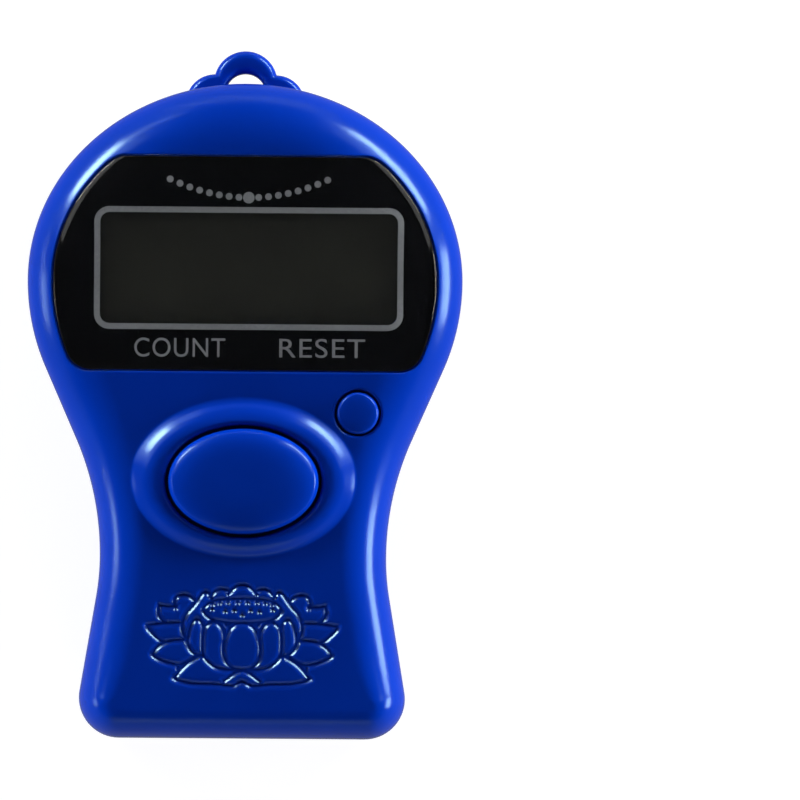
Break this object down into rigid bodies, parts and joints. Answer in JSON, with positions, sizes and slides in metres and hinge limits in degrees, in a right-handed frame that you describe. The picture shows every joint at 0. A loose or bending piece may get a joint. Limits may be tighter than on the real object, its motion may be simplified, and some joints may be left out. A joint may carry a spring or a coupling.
{
  "type": "digital prayer counter",
  "caption": "Hand-held electronic prayer counter with a display window, an oval count button, a small reset button and a lanyard loop.",
  "frame": {"origin": "centre of the bounding box on the flat back of the rear shell", "axes": "+Z out of the front face, +Y along the length towards the lanyard loop, +X to the user's right as the display is read"},
  "size_m": [0.041, 0.0648, 0.0148],
  "materials": {
    "case_blue": "glossy injection-moulded ABS",
    "button_blue": "glossy injection-moulded ABS",
    "window_acrylic": "clear polished acrylic",
    "window_print": "black screen print behind the lens",
    "lcd_film": "dark polarising film",
    "lcd_glass": "thin polished glass",
    "lcd_backing": "grey-green reflective polariser",
    "elastomer": "striped conductive and insulating silicone",
    "foam": "closed-cell foam",
    "board": "epoxy board with green solder mask",
    "resin": "black epoxy resin",
    "chip_ceramic": "fired ceramic chip with tinned ends",
    "silicone": "translucent grey silicone rubber",
    "carbon_rubber": "carbon-filled silicone rubber",
    "cell_steel": "nickel-plated steel can",
    "contact_nickel": "nickel-plated spring bronze",
    "screw_steel": "zinc-plated steel"
  },
  "bodies": {
    "case": {"front_shell": "case_blue", "rear_shell": "case_blue", "battery_door": "case_blue", "window_lens": "window_acrylic", "window_mask": "window_print", "lcd_front_polariser": "lcd_film", "lcd_front_glass": "lcd_glass", "lcd_rear_glass": "lcd_glass", "lcd_reflector": "lcd_backing", "zebra_strip": "elastomer", "foam_strip": "foam", "circuit_board": "board", "chip_resin_blob": "resin", "chip_capacitor": "chip_ceramic", "chip_resistor": "chip_ceramic", "count_key_dome": "silicone", "reset_key_dome": "silicone", "button_cell": "cell_steel", "positive_contact": "contact_nickel", "negative_contact": "contact_nickel", "board_screw_1": "screw_steel", "board_screw_2": "screw_steel", "board_screw_3": "screw_steel", "board_screw_4": "screw_steel", "case_screw_1": "screw_steel", "case_screw_2": "screw_steel", "case_screw_3": "screw_steel", "door_screw": "screw_steel"},
    "count_key": {"count_button": "button_blue", "count_contact_pill": "carbon_rubber"},
    "reset_key": {"reset_button": "button_blue", "reset_contact_pill": "carbon_rubber"}
  },
  "joints": [
    {"name": "count_press", "type": "slide", "parent": "case", "child": "count_key", "axis": [0, 0, -1], "range_m": [0, 0.0009], "stiffness_N_per_m": 1200, "springref_m": -0.0002, "deforming": ["count_key_dome"]},
    {"name": "reset_press", "type": "slide", "parent": "case", "child": "reset_key", "axis": [0, 0, -1], "range_m": [0, 0.0007], "stiffness_N_per_m": 1200, "springref_m": -0.0002, "deforming": ["reset_key_dome"]}
  ]
}
